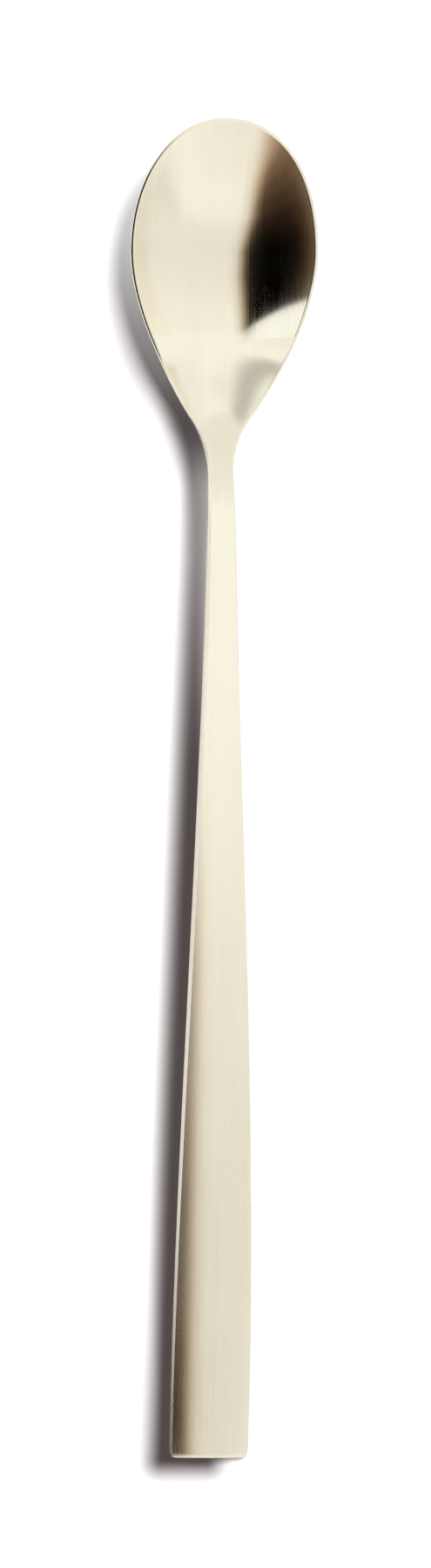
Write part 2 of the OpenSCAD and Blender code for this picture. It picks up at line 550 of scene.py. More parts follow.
class HandlingMarks:
    """Shader group: soft haze and a few hairline scratches that use leaves on the steel."""

    NAME = "HandlingMarks"
    PATCH_STRETCH = 2.6
    SCRATCH_STRETCH = 16
    SCRATCH_SLANT = 0.08
    SCRATCH_EDGE = 0.03
    HAZE_RANGE = (0.3, 0.7)
    SCRATCHED_RANGE = (0.5, 0.66)

    @classmethod
    def group(cls) -> bpy.types.NodeTree:
        """Builds the group once.

        Returns:
            The group, with the inputs Vector, Patch Size and Scratch Size, and the outputs Haze
            and Scratches.
        """
        if cls.NAME in bpy.data.node_groups:
            return bpy.data.node_groups[cls.NAME]
        kinds = {"Vector": "Vector", "Patch Size": "Float", "Scratch Size": "Float"}
        graph, (vector, patch, scratch, *_) = shader_group(cls.NAME, kinds, ["Haze", "Scratches"])
        x, y, z = graph.split(vector)
        place = graph.combine(x / patch, y / (patch * cls.PATCH_STRETCH), z / patch)
        cloud = graph.call("ShaderNodeTexNoise", {"Vector": place, "Scale": 1.0, "Detail": 2.0})
        slanted = (x + y * cls.SCRATCH_SLANT) / scratch
        place = graph.combine(slanted, y / (scratch * cls.SCRATCH_STRETCH), z / scratch)
        inputs = {"Vector": place, "Scale": 1.0, "Randomness": 1.0}
        cells = graph.call("ShaderNodeTexVoronoi", inputs, feature="DISTANCE_TO_EDGE")
        hair = graph.smooth(cells, cls.SCRATCH_EDGE, 0.0)
        leave = graph.node("NodeGroupOutput")
        graph.feed(leave.inputs["Haze"], graph.smooth(cloud, *cls.HAZE_RANGE))
        graph.feed(leave.inputs["Scratches"], hair * graph.smooth(cloud, *cls.SCRATCHED_RANGE))
        return graph.tree


@dataclass(frozen=True)
class SteelFinish:
    """Brushed steel under a champagne coat, for one piece of the spoon, brushed along its lay."""

    name: str
    roughness: float
    line_depth: float
    haze_roughness: float
    tone: Colour = (0.885, 0.855, 0.735)
    deep_tone: Colour = (0.83, 0.79, 0.66)
    stretch: float = 0.8
    lay: tuple = (0.0, 1.0, 0.0)
    line_width: float = 0.18 * MM
    line_length: float = 12 * MM
    break_up: float = 0.55
    patch_size: float = 7 * MM
    scratch_size: float = 1.1 * MM
    line_contrast: float = 0.3
    band_contrast: float = 0.25
    haze_contrast: float = 0.2
    scratch_contrast: float = 0.15
    line_roughness: float = 0.05
    band_roughness: float = 0.02
    band_height: float = 0.5
    scratch_height: float = -0.6
    joint_roughness: float = 0.22
    run_in: float = 18 * MM

    def material(self) -> bpy.types.Material:
        """Builds the finish.

        Returns:
            The material, with its pattern in Object coordinates.
        """
        steel = bpy.data.materials.new(self.name)
        graph = fresh_graph(steel)
        place = graph.call("ShaderNodeTexCoord", {}, "Object")
        sizes = {"Line Width": self.line_width, "Line Length": self.line_length, "Break Up": self.break_up}
        lines, bands = self.effect(graph, BrushedGrain.group(), place, sizes)
        sizes = {"Patch Size": self.patch_size, "Scratch Size": self.scratch_size}
        haze, scratches = self.effect(graph, HandlingMarks.group(), place, sizes)
        shade = lines * self.line_contrast + bands * self.band_contrast
        shade = clip(shade + haze * self.haze_contrast + scratches * self.scratch_contrast)
        height = lines + bands * self.band_height + scratches * self.scratch_height
        inputs = {"Strength": 1.0, "Distance": self.line_depth, "Height": height}
        body = graph.node("ShaderNodeBsdfPrincipled", name="ChampagneSteel")
        body.inputs["Metallic"].default_value = 1.0
        body.inputs["Anisotropic"].default_value = self.stretch
        graph.feed(body.inputs["Base Color"], graph.mix_colour(self.tone, self.deep_tone, shade))
        graph.feed(body.inputs["Roughness"], self.gloss(graph, place, lines, bands, haze))
        graph.feed(body.inputs["Normal"], graph.call("ShaderNodeBump", inputs))
        facing = graph.call("ShaderNodeNewGeometry", {}, "Normal")
        graph.feed(body.inputs["Tangent"], graph.vector_math("CROSS_PRODUCT", facing, self.lay))
        leave = graph.node("ShaderNodeOutputMaterial")
        graph.tree.links.new(body.outputs[0], leave.inputs["Surface"])
        return steel

    def gloss(self, graph: Graph, place: Field, lines: Field, bands: Field, haze: Field) -> Field:
        """Works out the roughness, which both pieces share at the joint.

        Args:
            graph: The material's graph.
            place: Object coordinates.
            lines: The grain's lines.
            bands: The grain's bands.
            haze: The haze of use.

        Returns:
            The roughness.
        """
        _, along, _ = graph.split(place)
        near = graph.smooth(graph.math("ABSOLUTE", along - JOINT), self.run_in, 0.0)
        rough = lerp(self.roughness, self.joint_roughness, near)
        rough = rough + (lines - 0.5) * self.line_roughness + (bands - 0.5) * self.band_roughness
        return clip(rough + (haze - 0.5) * self.haze_roughness)

    @staticmethod
    def effect(
        graph: Graph, group: bpy.types.NodeTree, place: Field, sizes: dict[str, float]
    ) -> list[Field]:
        """Places a shader group in the material.

        Args:
            graph: The material's graph.
            group: The group.
            place: Object coordinates.
            sizes: This finish's values by input name.

        Returns:
            The group's outputs.
        """
        made = graph.node("ShaderNodeGroup", node_tree=group)
        for name, value in {"Vector": place, **sizes}.items():
            graph.feed(made.inputs[name], value)
        return graph.outputs(made)


BOWL_STEEL = SteelFinish(
    name="BowlChampagneSteel",
    roughness=0.12,
    line_depth=0.0015 * MM,
    haze_roughness=0.02,
)
HANDLE_STEEL = SteelFinish(
    name="HandleChampagneSteel",
    roughness=0.27,
    line_depth=0.002 * MM,
    haze_roughness=0.04,
)


# The spoon


@dataclass
class Neck:
    """The joint across the neck, where the bowl and the handle meet face to face."""

    place: float = JOINT
    width: float = 4 * MM
    thickness: float = 3.6 * MM
    height: float = 7.6 * MM
    crown: float = 0.2 * MM
    belly: float = 0.6 * MM
    bevel: float = 0.45 * MM
    eased: float = 0.5 * MM
    side_share: float = 0.5
    angle: float = 5.3
    power: float = 2.2
    dip: float = 2.4 * MM
    dip_place: float = 52.83 * MM
    dip_length: float = 14 * MM


def finish_piece(piece: bpy.types.Object, node: str) -> bpy.types.Object:
    """Ties a finished piece to its body, and hides the solid that it stands for.

    Args:
        piece: The piece, with its place in its mesh.
        node: The solid that it stands for.

    Returns:
        The same piece.
    """
    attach(piece, BODY)
    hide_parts(node)
    log.info("%s: %d faces", piece.name, len(piece.data.polygons))
    return piece


@dataclass
class Bowl:
    """Pressed egg-shaped bowl with a rounded rim and the flared root of the neck."""

    neck: Neck
    finish: SteelFinish
    length: float = 53.2 * MM
    width: float = 28.3 * MM
    front_length: float = 19.7 * MM
    depth: float = 6.2 * MM
    wall: float = 1.4 * MM
    rim_width: float = 0.5 * MM
    rim_face: float = 0.9 * MM
    rim_ease: float = 0.2
    tip_rise: float = 2.6 * MM
    hollow_power: float = 2.2
    hollow_share: float = 0.93
    runout_power: float = 1.5
    thin_share: float = 0.35
    flare: tuple = ((0, 0), (0.147, 0), (0.25, 0.2))
    shoulder: tuple = ((0.25, 0.2), (0.38, 0.452), (0.72, 1), (1, 1))
    front: tuple = ((1, 0), (1, 0.52), (0.65, 1), (0, 1))
    flare_steps: int = 26
    shoulder_steps: int = 44
    front_steps: int = 72
    walk_repeat: int = 2

    @property
    def rear_length(self) -> float:
        """Length from the neck joint to the widest place."""
        return self.length - self.front_length

    @property
    def widest(self) -> float:
        """Place of the widest section along Y."""
        return self.neck.place + self.rear_length

    @property
    def rim_height(self) -> float:
        """Height of the rim over the plane at the widest place."""
        return self.wall + self.depth

    def rear_section(self, along: float, widening: float) -> Section:
        """Section behind the widest place.

        Args:
            along: Share of the rear length, from the joint.
            widening: Share of the widening, from the neck to the bowl.

        Returns:
            The section there.
        """
        neck, back = self.neck, 1 - along
        root = ease((back - self.thin_share) / (1 - self.thin_share))
        fall = -slope(neck.angle)
        edge = blend(self.rim_height, 0.0, neck.height - neck.crown, fall, -self.rear_length, back)
        edge -= dip(neck.place + along * self.rear_length, neck.dip, neck.dip_place, neck.dip_length)
        hollow = (1 - clip(back / self.hollow_share) ** self.hollow_power) ** self.runout_power
        top = edge + neck.crown * root - self.depth * hollow
        neck_face = neck.thickness - neck.crown - neck.belly
        return Section(
            half=lerp(neck.width, self.width, widening) / 2,
            edge=edge,
            top=top,
            low=edge - lerp(self.rim_face, neck_face, root),
            under=top - lerp(self.wall, neck.thickness, root),
            bevel=lerp(self.rim_width, neck.bevel, root),
            upper=neck.side_share,
            full=1.0,
            eased=lerp(self.rim_face * self.rim_ease, neck.eased, root),
            power=self.hollow_power,
            belly=self.hollow_power,
        )

    def rear_half(self, along: float, widening: float, places: np.ndarray) -> np.ndarray:
        """Half of a section behind the widest place.

        Args:
            along: Share of the rear length, from the joint.
            widening: Share of the widening, from the neck to the bowl.
            places: Shares of the walk.

        Returns:
            The points at those places.
        """
        section = self.rear_section(along, widening)
        share, inset, height = section.trace(places)
        across = share * (section.half - inset)
        forward = np.full_like(across, self.neck.place + along * self.rear_length)
        return np.stack([across, forward, height], 1)

    def front_half(self, turn: float, places: np.ndarray) -> np.ndarray:
        """Half section that fans out from the deepest point to the rim.

        Args:
            turn: Share of the way round the front, from the widest place to the tip.
            places: Shares of the walk.

        Returns:
            The points at those places.
        """
        share, inset, height = self.rear_section(1.0, 1.0).trace(places)
        side, ahead = curve_point(self.front, turn)
        across = share * side * (self.width / 2 - inset)
        forward = share * ahead * (self.front_length - inset)
        rise = self.tip_rise * ease(forward / self.front_length)
        return np.stack([across, self.widest + forward, height + rise], 1)

    def halves(self) -> tuple[np.ndarray, int]:
        """All half sections from the joint to the tip.

        Returns:
            Their points, and the number of the first one that starts at the deepest point.
        """
        places = np.linspace(0, 1, WALK_STEPS * self.walk_repeat + 1)
        parts = ((self.flare, self.flare_steps), (self.shoulder, self.shoulder_steps))
        rear = [curve_point(curve, step / steps) for curve, steps in parts for step in range(steps)]
        rows = [self.rear_half(along, widening, places) for along, widening in rear]
        turns = [step / self.front_steps for step in range(self.front_steps + 1)]
        rows += [self.front_half(turn, places) for turn in turns]
        return np.array(rows), len(rear)

    def mesh(self) -> bpy.types.Mesh:
        """Closes the skin round both sides, with a flat cap across the joint.

        Returns:
            The bowl's mesh, with its faces outwards.
        """
        halves, hub = self.halves()
        last, inner = len(halves) - 1, halves.shape[1] - 2
        points = [*halves[: hub + 1, 0], *halves[: hub + 1, -1]]
        for column in range(2 * last + 1):
            side = -1 if column > last else 1
            points.extend(halves[min(column, 2 * last - column), 1:-1] * (side, 1, 1))

        def index(column: int, row: int) -> int:
            """Finds the point at a column round the rim and a row of the walk.

            Args:
                column: Number of the half section, on past the tip for the other side.
                row: Number of the place on its walk.

            Returns:
                The point's number.
            """
            spine = min(column, 2 * last - column, hub)
            if row == 0:
                return spine
            if row == inner + 1:
                return hub + 1 + spine
            return 2 * (hub + 1) + column * inner + row - 1

        faces = []
        for column in range(2 * last):
            for row in range(inner + 1):
                corners = [index(column, row), index(column + 1, row)]
                corners += [index(column + 1, row + 1), index(column, row + 1)]
                faces.append(list(dict.fromkeys(corners)))
        cap = [index(0, row) for row in range(inner + 2)]
        cap += [index(2 * last, row) for row in range(inner, 0, -1)]
        mesh = bpy.data.meshes.new("Bowl")
        mesh.from_pydata([tuple(map(float, point)) for point in points], [], [*faces, cap])
        return self.tidy(mesh)

    @staticmethod
    def tidy(mesh: bpy.types.Mesh) -> bpy.types.Mesh:
        """Turns all faces outwards, and shades all but the cap smooth.

        Args:
            mesh: The closed skin, whose cap is its only face of more than four corners.

        Returns:
            The same mesh.
        """
        work = bmesh.new()
        work.from_mesh(mesh)
        bmesh.ops.recalc_face_normals(work, faces=work.faces)
        if work.calc_volume(signed=True) < 0:
            bmesh.ops.reverse_faces(work, faces=work.faces)
        for face in work.faces:
            face.smooth = len(face.verts) <= 4
            if not face.smooth:
                for edge in face.edges:
                    edge.smooth = False
        work.to_mesh(mesh)
        work.free()
        return mesh

    def build(self) -> bpy.types.Object:
        """Makes the bowl and dresses it.

        Returns:
            The bowl.
        """
        piece = place_object("SpoonBowl", self.mesh())
        piece.data.materials.append(self.finish.material())
        return finish_piece(piece, "bowl")


@dataclass
class Handle:
    """Arched handle that widens from the neck into a thin, crowned end with eased corners."""

    neck: Neck
    finish: SteelFinish
    length: float = 146.8 * MM
    width: float = 11.9 * MM
    thickness: float = 2.5 * MM
    end_angle: float = 8.4
    crown: float = 0.95 * MM
    crown_power: float = 3.0
    belly: float = 0.15 * MM
    side_bevel: float = 0.45 * MM
    side_share: float = 0.85
    side_pace: float = 3.0
    end_bevel: float = 0.2 * MM
    eased: float = 0.25 * MM
    corner_length: float = 2.0 * MM
    corner_in: float = 0.45 * MM
    corner_drop: float = 0.3 * MM
    corner_lift: float = 0.15 * MM
    widening: tuple = (0.0, 0.21, 1.1, 1.0)
    straight_steps: int = 200
    corner_steps: int = 20
    walk_repeat: int = 2

    def sizes(self) -> dict[str, float]:
        """Names each size of the neck and the handle for the form, such as Neck Width and Length.

        Returns:
            The values by input name.
        """
        return {
            prefix + item.name.replace("_", " ").title(): getattr(owner, item.name)
            for prefix, owner in (("Neck ", self.neck), ("", self))
            for item in fields(owner)
            if item.type is float
        }

    def section(self, size: dict[str, Value], along: Value, rounding: Value) -> Section:
        """Section of the handle.

        Args:
            size: The form's inputs by name.
            along: Share of the length, from the joint.
            rounding: Share by which the end's corners are rounded off.

        Returns:
            The section there.
        """
        thin = ease(along)
        sides = ease(along * size["Side Pace"])
        rise, fall = slope(size["Neck Angle"]), 0.0 - slope(size["End Angle"])
        crest = blend(size["Neck Height"], rise, size["Thickness"], fall, size["Length"], along)
        place = size["Neck Place"] - along * size["Length"]
        crest = crest - dip(place, size["Neck Dip"], size["Neck Dip Place"], size["Neck Dip Length"])
        top = crest - size["Corner Drop"] * rounding
        under = crest - lerp(size["Neck Thickness"], size["Thickness"], thin)
        under = under + size["Corner Lift"] * rounding
        half = lerp(size["Neck Width"], size["Width"], curve3(*self.widening, along)) / 2
        late_bevel = (size["Side Bevel"] + size["End Bevel"]) / 2
        power = lerp(size["Neck Power"], size["Crown Power"], thin)
        return Section(
            half=half - size["Corner In"] * rounding,
            edge=top - lerp(size["Neck Crown"], size["Crown"], thin),
            top=top,
            low=under + lerp(size["Neck Belly"], size["Belly"], thin),
            under=under,
            bevel=curve3(size["Neck Bevel"], size["Side Bevel"], late_bevel, size["End Bevel"], along),
            upper=lerp(size["Neck Side Share"], size["Side Share"], sides),
            full=lerp(1.0, 0.0, sides),
            eased=lerp(size["Neck Eased"], size["Eased"], thin),
            power=power,
            belly=power,
        )

    def form(self) -> bpy.types.NodeTree:
        """Builds the Geometry Nodes tree that bends a tube into the handle.

        Returns:
            The tree, with a named input for each size and one for the material.
        """
        tree = bpy.data.node_groups.new("ArchedHandle", "GeometryNodeTree")
        tree.is_modifier = True
        kinds = {name: "Float" for name in self.sizes()}
        kinds |= {"Round Steps": "Int", "Length Steps": "Int", "Material": "Material"}
        for name, kind in kinds.items():
            tree.interface.new_socket(name=name, in_out="INPUT", socket_type="NodeSocket" + kind)
        tree.interface.new_socket(name="Geometry", in_out="OUTPUT", socket_type="NodeSocketGeometry")
        graph = Graph(tree)
        entry = graph.node("NodeGroupInput")
        size = {name: Field(graph, entry.outputs[name]) for name in kinds}
        tube = graph.node("GeometryNodeMeshCylinder", fill_type="NGON")
        graph.feed(tube.inputs["Vertices"], size["Round Steps"])
        graph.feed(tube.inputs["Side Segments"], size["Length Steps"])
        graph.feed(tube.inputs["Radius"], 1.0)
        graph.feed(tube.inputs["Depth"], 1.0)
        skin, top, foot, side = (
            Field(graph, tube.outputs[name]) for name in ("Mesh", "Top", "Bottom", "Side")
        )

        round_x, round_y, depth = graph.split(graph.call("GeometryNodeInputPosition", {}))
        walk = graph.math("ARCTAN2", graph.math("ABSOLUTE", round_y), round_x) / math.pi
        straight_part = self.straight_steps / (self.straight_steps + self.corner_steps)
        run = depth + 0.5
        straight = 1 - size["Corner Length"] / size["Length"]
        turn = clip((run - straight_part) / (1 - straight_part)) * (math.pi / 2)
        along = straight * clip(run / straight_part) + (1 - straight) * graph.math("SINE", turn)
        rounding = 1 - graph.math("COSINE", turn)
        section = self.section(size, along, rounding)
        share, inset, height = section.trace(walk)
        across = share * (section.half - inset) * graph.math("SIGN", round_y) * -1
        place = graph.combine(across, size["Neck Place"] - along * size["Length"], height)

        bent = graph.call("GeometryNodeSetPosition", {0: skin, 2: place})
        cap = graph.call("FunctionNodeBooleanMath", {0: top, 1: foot}, operation="OR")
        for domain, where, smooth in (("FACE", side, True), ("FACE", cap, False), ("EDGE", cap, False)):
            inputs = {0: bent, 1: where, 2: smooth}
            bent = graph.call("GeometryNodeSetShadeSmooth", inputs, domain=domain)
        whole = graph.call("GeometryNodeRealizeInstances", {0: bent})
        dressed = graph.call("GeometryNodeSetMaterial", {0: whole, 2: size["Material"]})
        graph.feed(graph.node("NodeGroupOutput").inputs[0], dressed)
        return tree

    def build(self) -> bpy.types.Object:
        """Runs the form and turns its result into a plain dressed mesh.

        Returns:
            The handle.
        """
        piece = place_object("SpoonHandle", bpy.data.meshes.new("Handle"))
        values: dict[str, Any] = dict(self.sizes())
        values["Round Steps"] = 2 * WALK_STEPS * self.walk_repeat
        values["Length Steps"] = self.straight_steps + self.corner_steps
        values["Material"] = self.finish.material()
        form = piece.modifiers.new("Form", "NODES")
        form.node_group = self.form()
        for item in form.node_group.interface.items_tree:
            if item.item_type == "SOCKET" and item.in_out == "INPUT":
                form[item.identifier] = values[item.name]
        depsgraph = bpy.context.evaluated_depsgraph_get()
        made = bpy.data.meshes.new_from_object(
            piece.evaluated_get(depsgraph), preserve_all_data_layers=True, depsgraph=depsgraph
        )
        piece.modifiers.clear()
        piece.data = made
        made.name = "Handle"
        return finish_piece(piece, "handle")


# The studio


@dataclass
class Floor:
    """Plain pale floor that keeps the spoon's shadow, with a painted shadow by the handle and painted
    light that lifts the shadow.
    """

    reach: float = 12.0
    tone: Colour = (0.92, 0.92, 0.92)
    deep_tone: Colour = (0.12, 0.11, 0.12)
    camera_lift: float = 0.015
    # Painted light that the camera sees on the floor round the bowl, which lifts the shadow there
    pool_lift: float = 0.8
    pool_start: float = 50 * MM
    pool_end: float = 106 * MM
    glossy_share: float = 0.12
    glossy_light: float = 0.95
    # Colour of the painted shadow beside and below the handle, by place along Y
    strip_tone: tuple = (
        (0.0, (0.085, 0.067, 0.066)),
        (43 * MM, (0.25, 0.22, 0.22)),
        (54 * MM, (0.09, 0.075, 0.075)),
    )
    # Painted light that the camera sees beside the handle, which lifts the shadow there
    strip_lift: float = 0.42
    end_lift: float = 0.2
    lift_near: float = -80 * MM
    lift_far: float = -20 * MM
    lift_fade: float = 18 * MM
    # Outline of the painted shadow beside and below the handle
    strip_left: float = -9.45 * MM
    strip_right: float = 2.0 * MM
    strip_near: float = -102.7 * MM
    strip_far: float = 62 * MM
    strip_fade: float = 8 * MM
    strip_slant: float = 0.036
    strip_turn: float = 33 * MM
    strip_flare: float = 7.2
    strip_soft: float = 2.4 * MM
    narrow: float = 3.5 * MM
    narrow_near: float = -60 * MM
    narrow_far: float = 40 * MM

    def strip(self, graph: Graph, across: Field, along: Field) -> Field:
        """The painted soft shadow beside and below the handle.

        Args:
            graph: The floor's graph.
            across: Place along X.
            along: Place along Y.

        Returns:
            How much of the floor is in it, from 0 to 1.
        """
        soft = self.strip_soft
        slant = (along - self.strip_near) * self.strip_slant
        turned = graph.math("MAXIMUM", along - self.strip_turn, 0.0)
        flare = turned * turned * self.strip_flare
        left = graph.smooth(across - slant + flare, self.strip_left - soft, self.strip_left + soft)
        narrow = graph.smooth(along, self.narrow_near, self.narrow_far) * self.narrow
        right = graph.smooth(across + narrow, self.strip_right + soft, self.strip_right - soft)
        near = graph.smooth(along, self.strip_near - soft, self.strip_near + soft)
        far = graph.smooth(along, self.strip_far, self.strip_far - self.strip_fade)
        return left * right * near * far

    def glow(self, graph: Graph, along: Field) -> Field:
        """Painted light that the camera sees round the bowl and beside the handle, which lifts the shadow
        there.

        Args:
            graph: The floor's graph.
            along: Place along Y.

        Returns:
            The light to add.
        """
        pool = graph.smooth(along, self.pool_start, self.pool_end)
        beside = lerp(self.end_lift, self.strip_lift, graph.smooth(along, self.lift_near, self.lift_far))
        start, finish = self.strip_far - self.strip_fade, self.strip_far - self.lift_fade
        beside = beside * graph.smooth(along, start, finish)
        return pool * self.pool_lift + beside + self.camera_lift

    def material(self) -> bpy.types.Material:
        """White paint, lifted a little for the camera and evened out in reflections, with a painted shadow
        beside and below the handle and painted light that lifts the shadow round the bowl and beside the
        handle.

        Returns:
            The material, clear from below.
        """
        paint = bpy.data.materials.new("PaleFloor")
        graph = fresh_graph(paint)
        rays = graph.rays()
        camera, glossy = rays[Ray.CAMERA], rays[Ray.GLOSSY]
        # Light that already came by way of the floor finds it dark, which keeps the shadow deep
        again = graph.reached(rays[Ray.MATT_TURNS], 1)
        colour = graph.mix_colour(self.tone, self.deep_tone, again)
        matt = graph.call("ShaderNodeBsdfDiffuse", {"Color": colour})
        across, along, _ = graph.split(graph.call("ShaderNodeTexCoord", {}, "Object"))
        # Painted light for the camera, a little everywhere and more round the bowl and beside the handle
        lift = graph.emission(WHITE, camera * self.glow(graph, along))
        lit = graph.call("ShaderNodeAddShader", {0: matt, 1: lift})
        # Painted shadow beside and below the handle, which the camera and the metal's reflections see
        shadow = graph.emission(graph.ramp(along, self.strip_tone))
        strip = clip(camera + glossy) * self.strip(graph, across, along)
        lit = graph.call("ShaderNodeMixShader", {0: strip, 1: lit, 2: shadow})
        even = graph.emission(WHITE, self.glossy_light)
        seen = graph.call("ShaderNodeMixShader", {0: glossy * self.glossy_share, 1: lit, 2: even})
        graph.show_front(seen)
        return paint

    def build(self) -> bpy.types.Object:
        """Lays the floor at z = 0.

        Returns:
            The floor.
        """
        half = self.reach / 2
        corners = [(-half, -half, 0), (half, -half, 0), (half, half, 0), (-half, half, 0)]
        mesh = bpy.data.meshes.new("Floor")
        mesh.from_pydata(corners, [], [(0, 1, 2, 3)])
        mesh.materials.append(self.material())
        floor = place_object("Floor", mesh)
        return floor


@dataclass
class KeyLamp:
    """Large soft lamp at the right, which casts the spoon's shadow to the left."""

    strength: float = 3.95
    spread: float = 32.0
    lean: float = 26.0
    turn: float = 43.0
    distance: float = 1.5
    tone: Colour = (1.0, 0.965, 0.965)

    def build(self) -> bpy.types.Object:
        """Hangs the lamp, out of the metal's reflections.

        Returns:
            The lamp.
        """
        light = bpy.data.lights.new("KeyLamp", "SUN")
        light.energy = self.strength
        light.angle = math.radians(self.spread)
        light.color = self.tone
        lamp = place_object("KeyLamp", light)
        lean, turn = math.radians(self.lean), math.radians(self.turn)
        aside = math.sin(lean)
        towards = Vector((aside * math.cos(turn), aside * math.sin(turn), math.cos(lean)))
        lamp.location = towards * self.distance
        lamp.rotation_mode = "QUATERNION"
        lamp.rotation_quaternion = towards.to_track_quat("Z", "Y")
        lamp.visible_glossy = False
        return lamp


def hang_card(
    name: str, corners: list, faces: list, light: Callable[[Graph], tuple[Field, Value]]
) -> bpy.types.Object:
    """Hangs a glowing card that only mirrored rays meet, and only on its front.

    Args:
        name: The card's name.
        corners: Its corners.
        faces: The corners of each of its faces, anticlockwise from the front.
        light: Makes the card's light and how clear it is, in the graph of its paper.

    Returns:
        The card.
    """
    paper = bpy.data.materials.new(name)
    graph = fresh_graph(paper)
    colour, clear = light(graph)
    graph.show_front(graph.emission(colour), clear)
    mesh = bpy.data.meshes.new(name)
    mesh.from_pydata(corners, [], faces)
    mesh.materials.append(paper)
    card = place_object(name, mesh)
    for kind in ("camera", "diffuse", "transmission", "volume_scatter", "shadow"):
        setattr(card, "visible_" + kind, False)
    return card


@dataclass
class HandleCard:
    """Glowing card close over the handle, seen only in reflections, with a brown left side towards its
    end, which is painted shade in the handle's reflection, and a lip at the bowl.
    """

    height: float = 15 * MM
    left: float = -42 * MM
    right: float = 16 * MM
    near: float = -112 * MM
    far: float = 57.5 * MM
    notch: float = 28 * MM
    lip: float = 6 * MM
    lip_fade: float = 3 * MM
    levels: tuple = (
        (-100 * MM, (0.89, 0.872, 0.815)),
        (-60 * MM, (0.91, 0.892, 0.835)),
        (-20 * MM, (1.01, 0.99, 0.94)),
        (20 * MM, (1.085, 1.08, 1.045)),
        (46 * MM, (1.07, 1.07, 1.03)),
        (56 * MM, (0.92, 0.92, 0.86)),
    )
    # Painted shade in the handle's reflection: the card's light darkens to brown on its left, more so
    # towards the handle's end
    shade: tuple = (
        (-10 * MM, (0.05, 0.026, 0.01)),
        (-8 * MM, (0.17, 0.105, 0.055)),
        (-6 * MM, (0.57, 0.44, 0.32)),
        (-4 * MM, (0.89, 0.82, 0.73)),
        (-2 * MM, (0.97, 0.95, 0.91)),
        (0.0, WHITE),
    )
    onset: tuple = (
        (-95 * MM, 1.0),
        (-60 * MM, 0.86),
        (-28 * MM, 0.7),
        (-14 * MM, 0.42),
        (3 * MM, 0.0),
    )

    def light(self, graph: Graph) -> tuple[Field, Value]:
        """Makes the card's light.

        Args:
            graph: The graph of its paper.

        Returns:
            The light's colour, and how it clears at the foot of the lip.
        """
        across, along, up = graph.split(graph.call("ShaderNodeTexCoord", {}, "Object"))
        light = graph.ramp(along, self.levels, Run.STRAIGHT)
        dark = graph.vector_math("MULTIPLY", light, graph.ramp(across, self.shade))
        light = graph.mix_colour(light, dark, graph.ramp(along, self.onset, Run.STRAIGHT))
        return light, graph.smooth(up, self.lip + self.lip_fade, self.lip)

    def build(self) -> bpy.types.Object:
        """Hangs the card with its front down, and the front of its lip to the handle.

        Returns:
            The card.
        """
        top, foot, side = self.height, self.lip, self.right
        corners = [
            (-side, self.far, top),
            (side, self.far, top),
            (side, self.near, top),
            (self.left, self.near, top),
            (self.left, self.far - self.notch, top),
            (-side, self.far, foot),
            (side, self.far, foot),
        ]
        return hang_card("HandleCard", corners, [(0, 1, 2, 3, 4), (5, 6, 1, 0)], self.light)


@dataclass
class RootCard:
    """Upright glowing card over the bowl's root, which faces the handle and has a grey band on its left,
    painted shade in the root's reflection.
    """

    place: float = 67.5 * MM
    reach: float = 90 * MM
    height: float = 130 * MM
    foot: float = 5.5 * MM
    dim: float = 0.045
    dim_start: float = 0.3
    dim_end: float = 1.2
    grey_foot: float = 6 * MM
    grey_rise: float = 9 * MM
    grey_end: float = -36 * MM
    grey_start: float = -26 * MM
    levels: tuple = (
        (8 * MM, (1.065, 1.06, 1.02)),
        (45 * MM, (1.04, 1.04, 0.99)),
        (80 * MM, (0.95, 0.95, 0.88)),
        (130 * MM, (0.87, 0.87, 0.8)),
    )
    # Painted shade in the reflection at the bowl's root: a grey band on the card's left, by slant
    grey: tuple = (
        (0.02, WHITE),
        (0.12, (0.93, 0.92, 0.91)),
        (0.24, (0.84, 0.83, 0.82)),
        (0.36, (0.67, 0.66, 0.65)),
        (0.6, (0.56, 0.55, 0.54)),
        (0.9, (0.58, 0.57, 0.56)),
        (1.1, (0.72, 0.71, 0.7)),
        (1.4, WHITE),
    )

    def light(self, graph: Graph) -> tuple[Field, Value]:
        """Makes the card's light, by its height and its slant from the middle.

        Args:
            graph: The graph of its paper.

        Returns:
            The light's colour, and how the card clears at its foot.
        """
        across, _, up = graph.split(graph.call("ShaderNodeTexCoord", {}, "Object"))
        slant = across / up
        aside = graph.smooth(slant, self.dim_start, self.dim_end) * self.dim
        light = graph.mix_colour(graph.ramp(up, self.levels), BLACK, aside)
        dark = graph.vector_math("MULTIPLY", light, graph.ramp(slant * -1, self.grey))
        share = graph.smooth(across, self.grey_end, self.grey_start)
        share = share * graph.smooth(up, self.grey_foot, self.grey_rise)
        light = graph.mix_colour(light, dark, share)
        return light, graph.smooth(up, self.foot, self.foot / 2)

    def build(self) -> bpy.types.Object:
        """Hangs the card with its front to the handle.

        Returns:
            The card.
        """
        side, top = self.reach, self.height
        outline = ((-side, 0.0), (side, 0.0), (side, top), (-side, top))
        corners = [(x, self.place, z) for x, z in outline]
        return hang_card("RootCard", corners, [(0, 1, 2, 3)], self.light)


@dataclass(frozen=True)
class Spot:
    """A soft spot in the tent: its centre and radii by mirrored direction, and its strength."""

    centre: tuple[float, float]
    radii: tuple[float, float]
    strength: float = 1.0

    def share(self, x: Field, y: Field) -> Field:
        """How much the spot covers, full at its centre and almost 0 at twice its radii.

        Args:
            x: Mirrored direction across the spoon.
            y: Mirrored direction along it.

        Returns:
            The share that it covers.
        """
        across, along = (x - self.centre[0]) / self.radii[0], (y - self.centre[1]) / self.radii[1]
        return x.graph.math("EXPONENT", 0.0 - across * across - along * along) * self.strength


